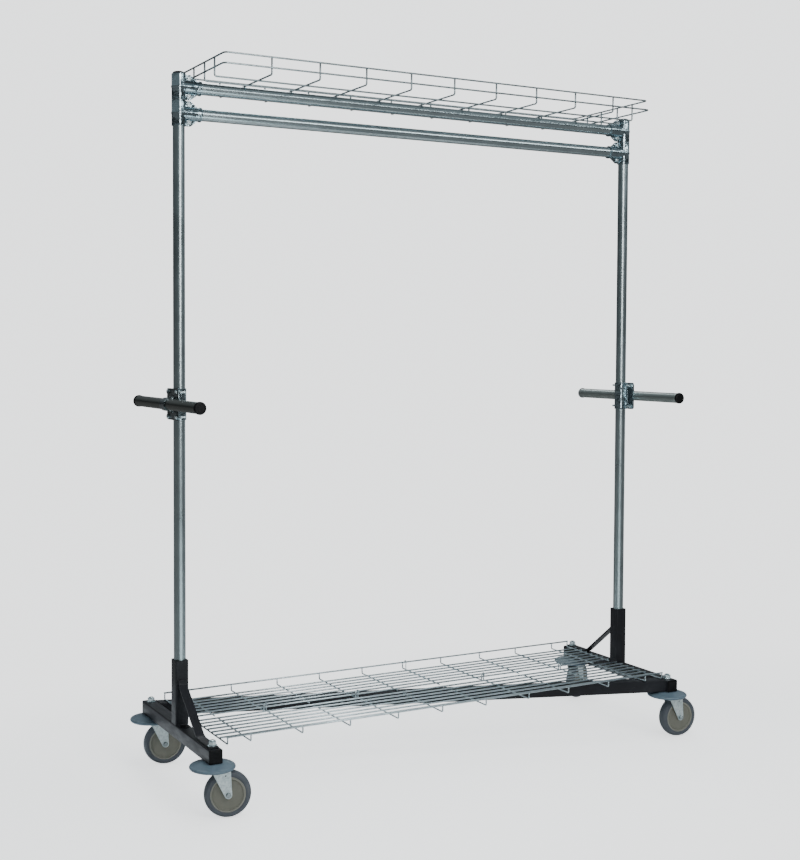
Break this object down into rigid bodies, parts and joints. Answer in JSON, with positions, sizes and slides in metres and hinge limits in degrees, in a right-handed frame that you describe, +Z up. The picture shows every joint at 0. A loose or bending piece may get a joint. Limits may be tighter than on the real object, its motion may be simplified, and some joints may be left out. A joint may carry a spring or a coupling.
{
  "type": "garment rail",
  "caption": "Rolling garment rail with a Z-shaped base, two uprights, a double hanging rail, push handles, a wire top tray and a folding wire bottom shelf.",
  "frame": {"origin": "on the floor, below the middle of the part's box", "axes": "+Z up, +X along the rails to the right as seen from the front, +Y from front to back"},
  "size_m": [1.7252, 0.618, 2.0332],
  "materials": {
    "black_frame": "semi-gloss black powder coat",
    "tube": "bright zinc-plated tube with a faint drawn grain",
    "clamp": "zinc-plated pressed steel",
    "wire": "zinc-plated drawn wire",
    "caster_steel": "zinc-plated pressed and turned steel",
    "end_cap": "satin black moulded plastic",
    "bumper": "blue-grey moulded rubber",
    "tyre": "dark grey non-marking rubber",
    "hub": "olive-grey moulded plastic"
  },
  "bodies": {
    "rack": {"back_left_bumper": "bumper", "back_left_stem": "caster_steel", "back_right_bumper": "bumper", "back_right_stem": "caster_steel", "back_shelf_panel": "wire", "diagonal_tube": "black_frame", "front_left_bumper": "bumper", "front_left_stem": "caster_steel", "front_right_bumper": "bumper", "front_right_stem": "caster_steel", "left_base_tube": "black_frame", "left_brace": "black_frame", "left_handle": "tube", "left_handle_back_cap": "end_cap", "left_handle_front_cap": "end_cap", "left_handle_saddle": "clamp", "left_handle_strap": "clamp", "left_lower_clamp_back": "clamp", "left_lower_clamp_front": "clamp", "left_socket": "black_frame", "left_upper_clamp_back": "clamp", "left_upper_clamp_front": "clamp", "left_upright": "tube", "left_upright_cap": "end_cap", "lower_rail": "tube", "right_base_tube": "black_frame", "right_brace": "black_frame", "right_handle": "tube", "right_handle_back_cap": "end_cap", "right_handle_front_cap": "end_cap", "right_handle_saddle": "clamp", "right_handle_strap": "clamp", "right_lower_clamp_back": "clamp", "right_lower_clamp_front": "clamp", "right_socket": "black_frame", "right_upper_clamp_back": "clamp", "right_upper_clamp_front": "clamp", "right_upright": "tube", "right_upright_cap": "end_cap", "top_shelf": "wire", "upper_rail": "tube"},
    "front_shelf": {"front_shelf_panel": "wire"},
    "fold_latch": {"fold_latch_hook": "wire"},
    "front_left_swivel": {"front_left_caster_fork": "caster_steel", "front_left_axle_bolt": "caster_steel"},
    "front_left_wheel": {"front_left_wheel_hub": "hub", "front_left_tyre": "tyre"},
    "back_left_swivel": {"back_left_caster_fork": "caster_steel", "back_left_axle_bolt": "caster_steel"},
    "back_left_wheel": {"back_left_wheel_hub": "hub", "back_left_tyre": "tyre"},
    "front_right_swivel": {"front_right_caster_fork": "caster_steel", "front_right_axle_bolt": "caster_steel"},
    "front_right_wheel": {"front_right_wheel_hub": "hub", "front_right_tyre": "tyre"},
    "back_right_swivel": {"back_right_caster_fork": "caster_steel", "back_right_axle_bolt": "caster_steel"},
    "back_right_wheel": {"back_right_wheel_hub": "hub", "back_right_tyre": "tyre"}
  },
  "joints": [
    {"name": "shelf_fold", "type": "hinge", "parent": "rack", "child": "front_shelf", "pos_m": [-0.01055, 0, 0.2094], "axis": [-1, 0, 0], "range_deg": [0, 176]},
    {"name": "latch_hook_swing", "type": "hinge", "parent": "rack", "child": "fold_latch", "pos_m": [0.07595, 0.248, 0.2094], "axis": [1, 0, 0], "range_deg": [0, 170]},
    {"name": "front_left_swivel_turn", "type": "hinge", "parent": "rack", "child": "front_left_swivel", "pos_m": [-0.80055, -0.247, 0.12], "axis": [0, 0, 1], "continuous": true},
    {"name": "front_left_wheel_spin", "type": "hinge", "parent": "front_left_swivel", "child": "front_left_wheel", "pos_m": [-0.76192, -0.25735, 0.0635], "axis": [0.2588, 0.9659, 0], "continuous": true},
    {"name": "back_left_swivel_turn", "type": "hinge", "parent": "rack", "child": "back_left_swivel", "pos_m": [-0.80055, 0.247, 0.12], "axis": [0, 0, 1], "continuous": true},
    {"name": "back_left_wheel_spin", "type": "hinge", "parent": "back_left_swivel", "child": "back_left_wheel", "pos_m": [-0.76143, 0.23868, 0.0635], "axis": [0.2079, 0.9781, 0], "continuous": true},
    {"name": "front_right_swivel_turn", "type": "hinge", "parent": "rack", "child": "front_right_swivel", "pos_m": [0.75945, -0.247, 0.12], "axis": [0, 0, 1], "continuous": true},
    {"name": "front_right_wheel_spin", "type": "hinge", "parent": "front_right_swivel", "child": "front_right_wheel", "pos_m": [0.79929, -0.25049, 0.0635], "axis": [0.0872, 0.9962, 0], "continuous": true},
    {"name": "back_right_swivel_turn", "type": "hinge", "parent": "rack", "child": "back_right_swivel", "pos_m": [0.75945, 0.247, 0.12], "axis": [0, 0, 1], "continuous": true},
    {"name": "back_right_wheel_spin", "type": "hinge", "parent": "back_right_swivel", "child": "back_right_wheel", "pos_m": [0.79477, 0.26578, 0.0635], "axis": [-0.4695, 0.8829, 0], "continuous": true}
  ]
}
